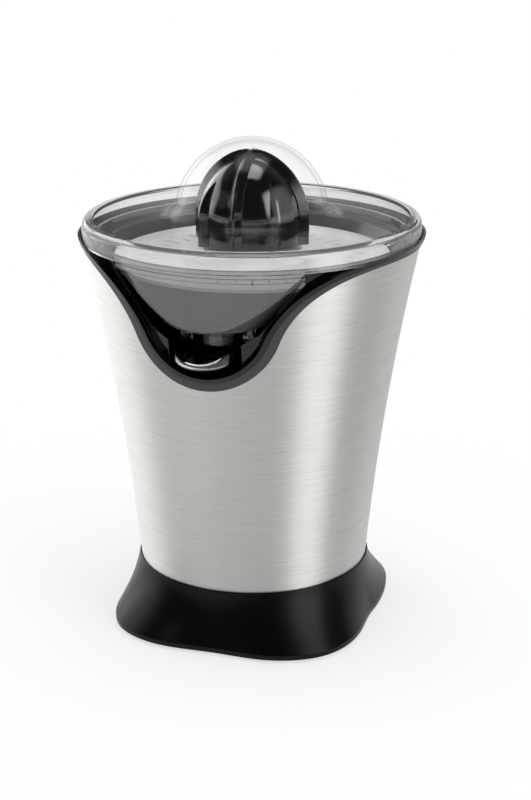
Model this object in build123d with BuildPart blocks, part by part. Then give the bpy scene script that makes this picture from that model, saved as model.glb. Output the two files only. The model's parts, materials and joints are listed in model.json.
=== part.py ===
from build123d import *
import os
from math import acos, asin, atan2, cos, degrees, pi, radians, sin, sqrt, tan

# Electric citrus press. Millimetres, +Z up, drive axis on Z, table at z = 0, spout notch towards -Y.
os.makedirs("parts", exist_ok=True)

# Fits
seat_gap = 0.2        # under a piece that lifts off its seat
side_gap = 0.4        # beside a piece that lifts out
running_fit = 0.05    # radial, a turning or sliding shaft
slip = 0.1            # radial, a hole over a screw or rod
snug = 0.02           # radial, pieces that are pressed together
axial_play = 0.3      # end play of turning pieces

# Body
foot_height = 2.0
base_top = 38.0
rim_height = 242.4
body_bottom_radius = 72.4
body_top_radius = 102.8
body_sag = 3.2
steel_wall = 0.8
shell_socket = 2.0

# Notch and rim
notch_depth = 70.2
notch_floor_radius = 46.0
notch_side_margin = 1.1
band_low = 5.0
band_side = 2.0
band_proud = 1.0
lip_low = 2.8
lip_side = 2.6
lip_proud = 1.8

# Inner housing
liner_wall = 2.2
liner_gap = 0.2
well_depth = 8.0
liner_floor = 3.0
tower_radius = 12.0
tower_height = 50.0
ledge_drop = 4.4
ledge_width = 3.5
ledge_thick = 2.5
flange_inset = 1.4
apron_wall = 2.2
apron_gap = 1.5
post_circle = 62.0
post_radius = 5.0
post_start = 75.0

# Juice bowl
bowl_wall = 2.0
flange_thick = 2.2
bowl_rim = 5.1
bowl_taper = 6.0
strainer_drop = 8.4
strainer_seat_width = 4.0
basin_depth = 12.8
basin_taper = 5.5
chimney_gap = 1.0
chimney_wall = 2.0
chimney_height = 11.0
outlet_inset = 26.3
sump_depth = 15.8
sump_neck = 13.0
sump_shoulder = 31.0
sump_shoulder_rise = 7.3
sump_top_radius = 56.0
sump_rounding = 9.0
sump_front_margin = 2.0
spigot_radius = 9.2
spigot_bore = 7.2
spigot_length = 6.4
seal_bore = 6.0
seal_flange = 12.0
seal_thick = 2.8

# Spout
spout_half_width = 18.5
spout_tip = 105.2
spout_slope = 2.0
spout_pivot_drop = 2.2
spout_rim_drop = 1.0
spout_depth = 9.0
spout_wall = 1.4
spout_rounding = 4.5
spout_lip_back = 10.0
spout_lip_height = 4.2
ear_radius = 3.4
lug_gap = 0.5
lug_thick = 3.0
pin_radius = 1.5

# Strainer and reamer
strainer_wall = 2.0
strainer_dip = 1.5
hub_rise = 4.0
hub_radius = 30.0
hub_foot_radius = 36.0
slot_width = 1.4
slot_count = 20
press_travel = 3.0
reamer_lift = 1.3
reamer_radius = 36.0
reamer_height = 56.0
reamer_straight = 15.6
reamer_tip_radius = 29.0
reamer_tip_flat = 0.2
rib_height = 4.2
rib_half_width = 4.4
rib_edge = 0.7
rib_root = 1.0
short_rib_radius = 24.0
reamer_wall = 3.5
reamer_hollow = 26.0
stem_radius = 7.5
stem_body_radius = 10.0
stem_end_radius = 9.0
clip_thick = 1.7
clip_radius = 10.5
clip_opening = 11.0
hex_size = 8.0
hex_length = 40.0
socket_depth_over = 2.0

# Dust cover
cover_overhang = 1.0
cover_draft = 1.0
cover_wall = 2.2
cover_skirt = 11.9
cover_edge_radius = 4.0
cover_inner_radius = 0.8
cover_foot_radius = 10.0
dome_clearance = 4.8

# Drive
spindle_radius = 5.0
bush_radius = 8.0
bush_length = 15.5
seal_height = 2.5
gear_module = 1.0
pressure_angle = radians(25)
gear_backlash = 0.12
gear_addendum = 0.95
gear_dedendum = 1.25
pinion_teeth = 14
wheel_teeth = 49
motor_direction = 330.0
wheel_face = 7.0
output_face = 8.0
mesh_margin = 1.0
gear_clearance = 1.0
axle_boss = 3.0
axle_radius = 3.0
gear_hub_radius = 10.0
gear_hub_below = 1.0
idler_hub_radius = 5.0
washer_thick = 1.7
washer_radius = 9.5
spring_radius = 7.4
spring_wire = 1.2
spring_half_turns = 7
spring_height = 8.8
plate_thick = 3.0
plate_radius = 68.0
lower_bush_flange = 1.5
lower_bush_flange_radius = 10.0
lower_bush_below = 3.0

# Motor and switch
motor_shaft_radius = 3.0
stack_height = 24.0
stack_half_width = 24.0
stack_front = 20.0
stack_back = 42.0
stack_bar = 12.0
stack_window_half = 12.0
stack_bore = 13.0
rotor_radius = 12.3
rotor_ring_radius = 10.0
rotor_ring = 3.5
coil_build = 7.5
coil_gap = 0.3
bracket_half_width = 8.0
bracket_sheet = 2.0
bracket_rise = 8.0
bracket_leg = 13.0
motor_bush_radius = 5.0
motor_bush_length = 5.0
motor_bolt_offset = 19.0
motor_bolt_radius = 2.0
motor_post_radius = 4.5
motor_drop = 27.0
spindle_tail = 2.0
switch_length = 20.0
switch_width = 6.4
switch_height = 9.0
plunger_radius = 1.5
plunger_show = 4.2
plunger_length = 9.0
switch_peg = 1.2
switch_peg_offset = 7.0
hanger_half_width = 12.0
hanger_thick = 3.0

# Base
base_half_width = 80.0
base_half_depth = 84.5
base_corner = 50.0
base_top_margin = 1.0
base_rim = 3.0
base_flare = 1.35
base_outline_points = 16
base_wall = 3.0
deck_thick = 4.0
deck_opening = 45.0
base_plate_thick = 3.0
base_plate_gap = 0.3
boss_radius = 4.5
base_screw_x = 34.0
base_screw_y = 52.0
base_screw_radius = 1.6
base_screw_length = 13.0
base_screw_head = 3.2
base_screw_head_height = 1.6
foot_radius = 8.0
foot_x = 50.0
foot_y = 56.0
foot_stud = 3.0
rod_radius = 2.1
rod_head = 4.0
rod_head_height = 3.0
rod_grip = 22.0
gland_height = 14.0
gland_boss_radius = 9.0
gland_boss_proud = 1.0
gland_barrel = 5.4
gland_length = 13.5
gland_flange_radius = 8.0
gland_flange = 2.0
cord_bore = 3.6

# Heights and radii that follow from the sizes above
notch_low = rim_height - notch_depth
band_rim = rim_height + band_side
lip_rim = band_rim + lip_side
band_floor = notch_low + band_low
lip_floor = band_floor + lip_low
notch_half_width = body_top_radius - notch_side_margin
far = 2 * body_top_radius
above_all = 2 * rim_height
chord_r = body_top_radius - body_bottom_radius
chord_z = rim_height - base_top
chord = sqrt(chord_r**2 + chord_z**2)
flare_radius = (chord**2 / 4 + body_sag**2) / (2 * body_sag)
flare_centre_r = (body_bottom_radius + body_top_radius) / 2 + (flare_radius - body_sag) * chord_z / chord
flare_centre_z = (base_top + rim_height) / 2 - (flare_radius - body_sag) * chord_r / chord


def flare(z):
    """Outside radius of the steel body at a height."""
    return flare_centre_r - sqrt(flare_radius**2 - (z - flare_centre_z) ** 2)


def flared_wall(inside, outside, low, high):
    """Section of a wall that follows the body's flare, between two offsets from the steel's outside."""
    middle = (low + high) / 2
    with BuildSketch() as wall:
        with BuildLine():
            ThreePointArc(
                (flare(low) + outside, low),
                (flare(middle) + outside, middle),
                (flare(high) + outside, high),
            )
            Line((flare(high) + outside, high), (flare(high) + inside, high))
            ThreePointArc(
                (flare(high) + inside, high),
                (flare(middle) + inside, middle),
                (flare(low) + inside, low),
            )
            Line((flare(low) + inside, low), (flare(low) + outside, low))
        make_face()
    return wall.sketch


def notch_region(low, high, floor_radius, close_z):
    """Front view of the side of a notch curve that reaches to the height close_z."""
    rise = high - low
    shoulder = (notch_half_width**2 + rise**2) / (2 * rise) - floor_radius
    turn = asin(notch_half_width / (floor_radius + shoulder))
    join_x = floor_radius * sin(turn)
    join_z = low + floor_radius * (1 - cos(turn))
    half_x = notch_half_width - shoulder * sin(turn / 2)
    half_z = high - shoulder * (1 - cos(turn / 2))
    with BuildSketch() as region:
        with BuildLine():
            ThreePointArc((-join_x, join_z), (0, low), (join_x, join_z))
            ThreePointArc((join_x, join_z), (half_x, half_z), (notch_half_width, high))
            Polyline(
                (notch_half_width, high),
                (far, high),
                (far, close_z),
                (-far, close_z),
                (-far, high),
                (-notch_half_width, high),
            )
            ThreePointArc((-notch_half_width, high), (-half_x, half_z), (-join_x, join_z))
        make_face()
    return region.sketch


def rim_cutter(low, high, floor_radius, close_z):
    """Everything on one side of a notch curve in front and of its straight rim at the back."""
    with BuildPart() as cutter:
        with BuildSketch(Plane.XZ):
            add(notch_region(low, high, floor_radius, close_z))
        extrude(amount=far)
        with BuildSketch(Plane.XZ):
            with Locations((0, (high + close_z) / 2)):
                Rectangle(2 * far, abs(close_z - high))
        extrude(amount=-far)
    return cutter.part


def inset(points, amount):
    """Open polyline moved to its left with mitred corners."""
    normals = []
    for (x0, y0), (x1, y1) in zip(points, points[1:]):
        length = sqrt((x1 - x0) ** 2 + (y1 - y0) ** 2)
        normals.append(((y0 - y1) / length, (x1 - x0) / length))
    moved = []
    for (x, y), (ax, ay), (bx, by) in zip(points, normals[:1] + normals, normals + normals[-1:]):
        scale = amount / (1 + ax * bx + ay * by)
        moved.append((x + scale * (ax + bx), y + scale * (ay + by)))
    return moved


def gear_outline(teeth, tooth_at):
    """Involute gear seen from above, with a tooth centred on a direction in degrees."""
    pitch = gear_module * teeth / 2
    base = pitch * cos(pressure_angle)
    root = pitch - gear_dedendum * gear_module
    tip = pitch + gear_addendum * gear_module
    foot = max(base, root)
    half_tooth = pi / (2 * teeth) - gear_backlash / (2 * pitch) + tan(pressure_angle) - pressure_angle

    def flank(radius, centre, side):
        roll = acos(min(1, base / radius))
        angle = centre + side * (half_tooth - tan(roll) + roll)
        return (radius * cos(angle), radius * sin(angle))

    def valley(centre, side):
        x, y = flank(foot, centre, side)
        return (x * root / foot, y * root / foot)

    with BuildSketch() as outline:
        with BuildLine():
            for tooth in range(teeth):
                centre = radians(tooth_at) + 2 * pi * tooth / teeth
                following = centre + 2 * pi / teeth
                if foot > root:
                    Line(valley(centre, -1), flank(foot, centre, -1))
                    Line(flank(foot, centre, 1), valley(centre, 1))
                ThreePointArc(flank(foot, centre, -1), flank((foot + tip) / 2, centre, -1), flank(tip, centre, -1))
                Line(flank(tip, centre, -1), flank(tip, centre, 1))
                ThreePointArc(flank(tip, centre, 1), flank((foot + tip) / 2, centre, 1), flank(foot, centre, 1))
                Line(valley(centre, 1), valley(following, -1))
        make_face()
    return outline.sketch


# Inner housing levels
liner_outside = -(steel_wall + liner_gap)
liner_inside = liner_outside - liner_wall
floor_top = lip_floor - well_depth
floor_bottom = floor_top - liner_floor
tower_top = floor_top + tower_height
ledge_z = rim_height - ledge_drop
cover_seat = band_rim
cover_radius = body_top_radius + cover_overhang

# Bowl levels
flange_z = ledge_z + seat_gap
flange_top = flange_z + flange_thick
flange_radius = flare(ledge_z) + liner_inside - flange_inset
ledge_inner = flange_radius - ledge_width
bowl_top = flange_top + bowl_rim
bowl_inner = ledge_inner - 2 * side_gap - bowl_wall
strainer_seat = flange_z - strainer_drop
outlet_reach = bowl_inner - outlet_inset
pocket_radius = bowl_inner - bowl_taper
seat_inner = pocket_radius - strainer_seat_width
basin_floor = strainer_seat - basin_depth
basin_radius = seat_inner - basin_taper
chimney_inner = tower_radius + chimney_gap
chimney_outer = chimney_inner + chimney_wall
chimney_top = basin_floor + chimney_height
sump_floor = basin_floor - sump_depth
sump_shoulder_z = sump_floor + sump_shoulder_rise
spigot_bottom = sump_floor - spigot_length
pivot_z = sump_floor - spout_pivot_drop

# Strainer, reamer and cover levels
strainer_radius = pocket_radius - side_gap
strainer_top = strainer_seat + seat_gap + strainer_wall
hub_top = strainer_top + hub_rise
hub_under = hub_top - strainer_wall
reamer_base = hub_top + press_travel + reamer_lift
reamer_tip = reamer_base + reamer_height
stem_bore = stem_radius + axial_play
clip_top = hub_under - axial_play
stem_end_top = clip_top - clip_thick - axial_play
stem_end_bottom = stem_end_top - clip_thick
cover_bottom = cover_seat + axial_play
cover_top = cover_bottom + cover_skirt
dome_radius = reamer_tip - cover_top + dome_clearance + cover_wall

# Drive levels, from the housing floor down
boss_bottom = floor_bottom - axle_boss
wheel_top = boss_bottom - axial_play - gear_clearance
wheel_bottom = wheel_top - wheel_face
output_top = wheel_bottom - mesh_margin - gear_clearance
output_bottom = output_top - output_face
pinion_bottom = output_bottom - press_travel - mesh_margin
hub_bottom = output_bottom - gear_hub_below
washer_bottom = hub_bottom - washer_thick
spring_bottom = washer_bottom - spring_height
plate_top = spring_bottom - lower_bush_flange
plate_bottom = plate_top - plate_thick
spindle_bottom = plate_bottom - lower_bush_below - spindle_tail
hex_bottom = tower_top + press_travel + gear_clearance
hex_top = hex_bottom + hex_length
socket_top = hex_top + socket_depth_over
centre_distance = gear_module * (pinion_teeth + wheel_teeth) / 2
idler_y = centre_distance
motor_x = centre_distance * cos(radians(motor_direction))
motor_y = idler_y + centre_distance * sin(radians(motor_direction))
bracket_top_z = plate_bottom - motor_drop
stack_top = bracket_top_z - bracket_sheet
stack_bottom = stack_top - stack_height
plunger_top = spindle_bottom - axial_play
switch_top = plunger_top - plunger_show
switch_bottom = switch_top - switch_height
deck_top = base_top - shell_socket
deck_bottom = deck_top - deck_thick
plate_rest = foot_height + base_plate_thick
base_top_radius = body_bottom_radius + base_top_margin
base_rim_top = foot_height + base_rim


def motor_frame(z):
    """Plane across the motor at a height, with its local y towards the coil."""
    return Plane(origin=(motor_x, motor_y, z), x_dir=(0, 1, 0), z_dir=(0, 0, 1))


def motor_side(z):
    """Upright plane on the motor's near face, with its local x along the brackets."""
    return Plane(origin=(motor_x - bracket_half_width, motor_y, z), x_dir=(0, 1, 0), z_dir=(1, 0, 0))


# Steel body
with BuildPart() as steel_shell:
    with BuildSketch(Plane.XZ):
        add(flared_wall(-steel_wall, 0, deck_top, lip_rim))
    revolve(axis=Axis.Z)
    add(rim_cutter(notch_low, rim_height, notch_floor_radius, above_all), mode=Mode.SUBTRACT)

# Matte band on the steel's edge
with BuildPart() as rim_trim:
    with BuildSketch(Plane.XZ):
        add(flared_wall(-steel_wall, band_proud, notch_low - band_low, lip_rim))
    revolve(axis=Axis.Z)
    add(rim_cutter(notch_low, rim_height, notch_floor_radius, 0), mode=Mode.SUBTRACT)
    add(rim_cutter(band_floor, band_rim, notch_floor_radius - band_low, above_all), mode=Mode.SUBTRACT)

# Glossy lip, a part of the inner housing
with BuildPart() as lip:
    with BuildSketch(Plane.XZ):
        add(flared_wall(liner_inside, lip_proud, notch_low, lip_rim + lip_side))
    revolve(axis=Axis.Z)
    add(rim_cutter(band_floor, band_rim, notch_floor_radius - band_low, 0), mode=Mode.SUBTRACT)

# Apron behind the notch with the ledge and the fence for the bowl's rim, open at the front for the bowl's sump and the spout
sump_line = [
    (0, sump_floor),
    (sump_neck, sump_floor),
    (sump_shoulder, sump_shoulder_z),
    (sump_top_radius, flange_z),
]
opening_line = inset(sump_line, -apron_gap)
opening_foot = spout_half_width + lug_gap + lug_thick
apron_outside = liner_inside + liner_wall / 4
ledge_root = ledge_z - ledge_thick - ledge_width
with BuildPart() as apron:
    with BuildSketch(Plane.XZ):
        add(flared_wall(liner_inside - apron_wall, apron_outside, floor_bottom, ledge_z))
    revolve(axis=Axis.Z)
    with BuildSketch(Plane.XZ):
        with BuildLine():
            Polyline(
                (ledge_inner, ledge_z),
                (flare(ledge_z) + liner_inside, ledge_z),
                (flare(ledge_root) + liner_inside, ledge_root),
                (ledge_inner, ledge_z - ledge_thick),
                close=True,
            )
        make_face()
    revolve(axis=Axis.Z)
    with BuildSketch(Plane.XZ):
        with BuildLine():
            Polyline(
                (flange_radius + side_gap, ledge_z),
                (flare(ledge_z) + apron_outside, ledge_z),
                (flare(cover_seat) + apron_outside, cover_seat),
                (flange_radius + side_gap, cover_seat),
                close=True,
            )
        make_face()
    revolve(axis=Axis.Z)
    with BuildSketch(Plane.XZ):
        with BuildLine():
            Polyline(
                (0, floor_top),
                (opening_foot, floor_top),
                (opening_foot, sump_floor),
                *opening_line[2:],
                (opening_line[3][0], above_all),
                (0, above_all),
                close=True,
            )
        make_face()
        mirror(about=Plane.YZ)
    extrude(amount=far, mode=Mode.SUBTRACT)

# Inner housing: well for the bowl, drive tower and posts for the gear plate
with BuildPart() as inner_housing:
    with BuildSketch(Plane.XZ):
        add(flared_wall(liner_inside, liner_outside, floor_bottom, lip_rim + lip_side))
    revolve(axis=Axis.Z)
    add(lip.part)
    add(rim_cutter(lip_floor, lip_rim, notch_floor_radius - band_low - lip_low, above_all), mode=Mode.SUBTRACT)
    with BuildSketch(Plane.XY.offset(cover_seat)):
        Circle(cover_radius + axial_play)
    extrude(amount=above_all, mode=Mode.SUBTRACT)
    add(apron.part)
    with BuildSketch(Plane.XY.offset(floor_bottom)):
        Circle(flare(floor_bottom) + liner_outside)
    extrude(amount=liner_floor)
    with BuildSketch(Plane.XY.offset(floor_bottom)):
        Circle(tower_radius)
    extrude(amount=tower_top - floor_bottom)
    with BuildSketch(Plane.XY.offset(plate_top)):
        with PolarLocations(post_circle, 4, start_angle=post_start):
            Circle(post_radius)
    extrude(amount=floor_bottom + liner_floor / 2 - plate_top)
    with BuildSketch(Plane.XY.offset(boss_bottom)):
        with Locations((0, idler_y)):
            Circle(2 * axle_radius)
    extrude(amount=axle_boss + liner_floor / 2)
    with BuildSketch(Plane.XY.offset(boss_bottom)):
        with Locations((0, idler_y)):
            Circle(axle_radius + snug)
    extrude(amount=axle_boss, mode=Mode.SUBTRACT)
    with BuildSketch(Plane.XY.offset(plate_top)):
        with PolarLocations(post_circle, 4, start_angle=post_start):
            Circle(rod_radius + slip)
    extrude(amount=rod_grip + 2, mode=Mode.SUBTRACT)
    with BuildSketch(Plane.XY.offset(floor_bottom)):
        Circle(spindle_radius + gear_clearance)
    extrude(amount=tower_top - floor_bottom, mode=Mode.SUBTRACT)
    with BuildSketch(Plane.XY.offset(tower_top - bush_length - seal_height)):
        Circle(bush_radius + snug)
    extrude(amount=bush_length + seal_height, mode=Mode.SUBTRACT)

# Outside and inside of the bowl's front sump, each cut to the round of the bowl
sump_plane = Plane(origin=(0, -outlet_reach, 0), x_dir=(1, 0, 0), z_dir=(0, -1, 0))
outlet_axis = Axis((0, -outlet_reach, 0), (0, 0, 1))
sump_inner_line = inset(sump_line, bowl_wall)

with BuildPart() as sump_outside:
    with BuildSketch(sump_plane) as sump_outside_profile:
        with BuildLine():
            Polyline(*sump_line, (0, flange_z), close=True)
        make_face()
        fillet(sump_outside_profile.vertices().sort_by_distance(sump_line[2])[0], sump_rounding)
    revolve(axis=outlet_axis)
    with BuildSketch(Plane.XY):
        Circle(flange_radius - sump_front_margin)
    extrude(amount=above_all, mode=Mode.INTERSECT)

with BuildPart() as sump_inside:
    with BuildSketch(sump_plane) as sump_inside_profile:
        with BuildLine():
            Polyline(*sump_inner_line, (sump_inner_line[3][0], above_all), (0, above_all), close=True)
        make_face()
        fillet(sump_inside_profile.vertices().sort_by_distance(sump_inner_line[2])[0], sump_rounding - bowl_wall)
    revolve(axis=outlet_axis)
    with BuildSketch(Plane.XY):
        Circle(flange_radius - sump_front_margin - bowl_wall)
    extrude(amount=above_all, mode=Mode.INTERSECT)

# Juice bowl
basin_line = [
    (chimney_outer, basin_floor),
    (basin_radius, basin_floor),
    (seat_inner, strainer_seat),
    (pocket_radius, strainer_seat),
    (bowl_inner, flange_z),
]
basin_outer_line = inset(basin_line, -bowl_wall)
with BuildPart() as juice_bowl:
    with BuildSketch(Plane.XZ):
        with BuildLine():
            Polyline(
                (chimney_inner, chimney_top),
                (chimney_inner, basin_floor - bowl_wall),
                *basin_outer_line[1:4],
                (bowl_inner + bowl_wall, flange_z),
                (flange_radius, flange_z),
                (flange_radius, bowl_top),
                (flange_radius - bowl_wall, bowl_top),
                (flange_radius - bowl_wall, flange_top),
                (bowl_inner, flange_top),
                *reversed(basin_line),
                (chimney_outer, chimney_top),
                close=True,
            )
        make_face()
    revolve(axis=Axis.Z)
    add(sump_outside.part)
    with BuildSketch(Plane.XY.offset(spigot_bottom)):
        with Locations((0, -outlet_reach)):
            Circle(spigot_radius)
    extrude(amount=spigot_length + bowl_wall / 2)
    with BuildSketch(
        Plane(origin=(spout_half_width + lug_gap, -outlet_reach, pivot_z), x_dir=(0, 1, 0), z_dir=(1, 0, 0))
    ):
        Circle(ear_radius)
        with Locations((0, (sump_shoulder_z - pivot_z) / 2)):
            Rectangle(2 * ear_radius, sump_shoulder_z - pivot_z)
        Circle(pin_radius + snug, mode=Mode.SUBTRACT)
    extrude(amount=lug_thick)
    mirror(about=Plane.YZ)
    with BuildSketch(Plane.XZ):
        with BuildLine():
            Polyline(
                *basin_line,
                (bowl_inner, above_all),
                (0, above_all),
                (0, chimney_top),
                (chimney_outer, chimney_top),
                close=True,
            )
        make_face()
    revolve(axis=Axis.Z, mode=Mode.SUBTRACT)
    add(sump_inside.part, mode=Mode.SUBTRACT)
    with BuildSketch(Plane.XY.offset(spigot_bottom)):
        with Locations((0, -outlet_reach)):
            Circle(spigot_bore)
    extrude(amount=spigot_length + 2 * bowl_wall, mode=Mode.SUBTRACT)

# Rubber grommet in the outlet
with BuildPart() as outlet_seal:
    with BuildSketch(Plane.XY.offset(sump_floor + bowl_wall)):
        with Locations((0, -outlet_reach)):
            Circle(seal_flange)
    extrude(amount=seal_thick)
    with BuildSketch(Plane.XY.offset(spigot_bottom + bowl_wall)):
        with Locations((0, -outlet_reach)):
            Circle(spigot_bore - snug)
    extrude(amount=sump_floor - spigot_bottom)
    with BuildSketch(Plane.XY.offset(spigot_bottom)):
        with Locations((0, -outlet_reach)):
            Circle(seal_bore)
    extrude(amount=far, mode=Mode.SUBTRACT)

# Spout: open trough on a slope, with an ear on each side
slope = radians(spout_slope)
spout_normal = (0, -sin(slope), cos(slope))
spout_plane = Plane(origin=(0, -outlet_reach, pivot_z), x_dir=(1, 0, 0), z_dir=spout_normal)
spout_reach = (spout_tip - outlet_reach) / cos(slope)
spout_run = spout_reach - spout_half_width
spout_side = Plane(origin=spout_plane.origin, x_dir=(0, -cos(slope), -sin(slope)), z_dir=(-1, 0, 0))
spout_up = Axis((0, -outlet_reach, pivot_z), spout_normal)
with BuildPart() as spout:
    with BuildSketch(spout_plane.offset(-spout_rim_drop - spout_depth)):
        with Locations((0, -spout_run / 2)):
            SlotCenterToCenter(spout_run, 2 * spout_half_width, rotation=90)
    extrude(amount=spout_depth)
    fillet(spout.faces().sort_by(spout_up)[0].edges(), spout_rounding)
    offset(amount=-spout_wall, openings=spout.faces().sort_by(spout_up)[-1])
    with BuildSketch(spout_side):
        Polygon(
            (spout_reach - spout_lip_back, -spout_rim_drop),
            (spout_reach, spout_lip_height - spout_rim_drop - spout_depth),
            (spout_reach + far, spout_lip_height - spout_rim_drop - spout_depth),
            (spout_reach + far, far),
            (spout_reach - spout_lip_back, far),
            align=None,
        )
    extrude(amount=far, both=True, mode=Mode.SUBTRACT)
    with BuildSketch(
        Plane(origin=(spout_half_width - spout_wall, -outlet_reach, pivot_z), x_dir=(0, 1, 0), z_dir=(1, 0, 0))
    ):
        Circle(ear_radius)
        with Locations((0, -ear_radius / 2 - spout_rim_drop)):
            Rectangle(2 * ear_radius, ear_radius + 2 * spout_rim_drop)
    extrude(amount=spout_wall)
    mirror(about=Plane.YZ)
    with BuildSketch(Plane(origin=(-far, -outlet_reach, pivot_z), x_dir=(0, 1, 0), z_dir=(1, 0, 0))):
        Circle(pin_radius + slip)
    extrude(amount=2 * far, mode=Mode.SUBTRACT)

with BuildPart() as spout_pins:
    with BuildSketch(
        Plane(origin=(spout_half_width - 2 * spout_wall, -outlet_reach, pivot_z), x_dir=(0, 1, 0), z_dir=(1, 0, 0))
    ):
        Circle(pin_radius)
    extrude(amount=2 * spout_wall + lug_gap + lug_thick)
    mirror(about=Plane.YZ)

# Strainer
dish_edge = seat_inner - 2 * strainer_wall
strainer_line = [
    (stem_bore, hub_top),
    (hub_radius, hub_top),
    (hub_foot_radius, strainer_top - strainer_dip),
    (dish_edge - strainer_dip, strainer_top - strainer_dip),
    (dish_edge, strainer_top),
    (strainer_radius, strainer_top),
]
with BuildPart() as strainer:
    with BuildSketch(Plane.XZ):
        with BuildLine():
            Polyline(*strainer_line, *reversed(inset(strainer_line, -strainer_wall)), close=True)
        make_face()
    revolve(axis=Axis.Z)
    slot_inner = hub_foot_radius + (dish_edge - hub_foot_radius) * 0.48
    slot_outer = hub_foot_radius + (dish_edge - hub_foot_radius) * 0.82
    dot_middle = hub_foot_radius + (dish_edge - hub_foot_radius) * 0.92
    slot_length = slot_outer - slot_inner
    with BuildSketch(Plane.XY.offset(strainer_top)):
        with PolarLocations((slot_inner + slot_outer) / 2, slot_count):
            SlotOverall(slot_length, slot_width)
        with PolarLocations(slot_inner + slot_length / 4, slot_count, start_angle=180 / slot_count):
            SlotOverall(slot_length / 2, slot_width)
        with PolarLocations(dot_middle, slot_count, start_angle=180 / slot_count):
            SlotOverall(2 * slot_width, slot_width)
    extrude(amount=-2 * (strainer_wall + strainer_dip), mode=Mode.SUBTRACT)

# Reamer: a core with four long ribs that cross at the tip and four short ones between them
shoulder_z = reamer_base + reamer_straight
tip_centre = reamer_tip - reamer_tip_radius
tip_rise = tip_centre - shoulder_z
side_radius = (reamer_radius**2 + tip_rise**2 - reamer_tip_radius**2) / (2 * (reamer_radius - reamer_tip_radius))
side_centre = side_radius - reamer_radius
side_turn = degrees(atan2(tip_rise, side_centre))
core_radius = reamer_radius - rib_height
rib_section = [
    (-rib_root, -rib_half_width),
    (rib_height, -rib_edge),
    (rib_height, rib_edge),
    (-rib_root, rib_half_width),
]
rib_start = Plane(origin=(core_radius, 0, reamer_base), x_dir=(1, 0, 0), z_dir=(0, 0, 1))

with BuildPart() as long_rib:
    with BuildLine(Plane.XZ):
        Line((core_radius, reamer_base), (core_radius, shoulder_z))
        CenterArc((-side_centre, shoulder_z), side_radius - rib_height, 0, side_turn)
        CenterArc((0, tip_centre), reamer_tip_radius - rib_height, side_turn, 180 - 2 * side_turn)
        CenterArc((side_centre, shoulder_z), side_radius - rib_height, 180 - side_turn, side_turn)
        Line((-core_radius, shoulder_z), (-core_radius, reamer_base))
    with BuildSketch(rib_start):
        Polygon(*rib_section, align=None)
    sweep()

with BuildPart() as short_rib:
    with BuildLine(Plane.XZ):
        Line((core_radius, reamer_base), (core_radius, shoulder_z))
        CenterArc((core_radius - short_rib_radius, shoulder_z), short_rib_radius, 0, 90)
    with BuildSketch(rib_start):
        Polygon(*rib_section, align=None)
    sweep()

with BuildPart() as reamer:
    with BuildSketch(Plane.XZ):
        with BuildLine():
            Line((core_radius, reamer_base), (core_radius, shoulder_z))
            CenterArc((-side_centre, shoulder_z), side_radius - rib_height, 0, side_turn)
            CenterArc((0, tip_centre), reamer_tip_radius - rib_height, side_turn, 90 - side_turn)
            Polyline((0, reamer_tip - rib_height), (0, reamer_base), (core_radius, reamer_base))
        make_face()
    revolve(axis=Axis.Z)
    for turn in range(2):
        add(long_rib.part.rotate(Axis.Z, 90 * turn))
    for turn in range(4):
        add(short_rib.part.rotate(Axis.Z, 45 + 90 * turn))
    with BuildSketch(Plane.XZ):
        with BuildLine():
            Polyline(
                (stem_body_radius, reamer_base),
                (core_radius - reamer_wall, reamer_base),
                (core_radius - reamer_wall, shoulder_z),
                (stem_body_radius, reamer_base + reamer_hollow),
                close=True,
            )
        make_face()
    revolve(axis=Axis.Z, mode=Mode.SUBTRACT)
    with BuildSketch(Plane.XY.offset(reamer_tip - reamer_tip_flat)):
        Circle(reamer_radius)
    extrude(amount=reamer_height, mode=Mode.SUBTRACT)
    with BuildSketch(Plane.XY.offset(stem_end_bottom)):
        Circle(stem_radius)
    extrude(amount=reamer_base + reamer_wall - stem_end_bottom)
    with BuildSketch(Plane.XY.offset(stem_end_bottom)):
        Circle(stem_end_radius)
    extrude(amount=clip_thick)
    with BuildSketch(Plane.XY.offset(stem_end_bottom)):
        RegularPolygon(hex_size / 2 + slip, 6, major_radius=False)
    extrude(amount=socket_top - stem_end_bottom, mode=Mode.SUBTRACT)

with BuildPart() as reamer_clip:
    with BuildSketch(Plane.XY.offset(clip_top - clip_thick)):
        Circle(clip_radius)
        Circle(stem_radius + running_fit, mode=Mode.SUBTRACT)
        with Locations((clip_radius, 0)):
            Rectangle(2 * clip_radius, clip_opening, mode=Mode.SUBTRACT)
    extrude(amount=clip_thick)

# Dust cover
edge_radius = cover_radius - cover_draft
edge_x = edge_radius - cover_edge_radius
edge_z = cover_top - cover_edge_radius
inner_dome = dome_radius - cover_wall
inner_top = cover_top - cover_wall
inner_foot = sqrt(inner_dome**2 - cover_wall**2)
inner_turn = degrees(asin(cover_wall / inner_dome))
inner_edge = edge_radius - cover_wall
with BuildPart() as dust_cover:
    with BuildSketch(Plane.XZ) as cover_section:
        with BuildLine():
            CenterArc((0, cover_top), dome_radius, 0, 90)
            Line((dome_radius, cover_top), (edge_x, cover_top))
            CenterArc((edge_x, edge_z), cover_edge_radius, 0, 90)
            Polyline(
                (edge_radius, edge_z),
                (cover_radius, cover_bottom),
                (cover_radius - cover_wall, cover_bottom),
                (inner_edge, inner_top),
                (inner_foot, inner_top),
            )
            CenterArc((0, cover_top), inner_dome, -inner_turn, 90 + inner_turn)
            Line((0, cover_top + inner_dome), (0, cover_top + dome_radius))
        make_face()
        fillet(cover_section.vertices().sort_by_distance((dome_radius, cover_top))[0], cover_foot_radius)
        fillet(cover_section.vertices().sort_by_distance((inner_foot, inner_top))[0], cover_foot_radius + cover_wall)
        fillet(cover_section.vertices().sort_by_distance((inner_edge, inner_top))[0], cover_inner_radius)
    revolve(axis=Axis.Z)

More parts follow.
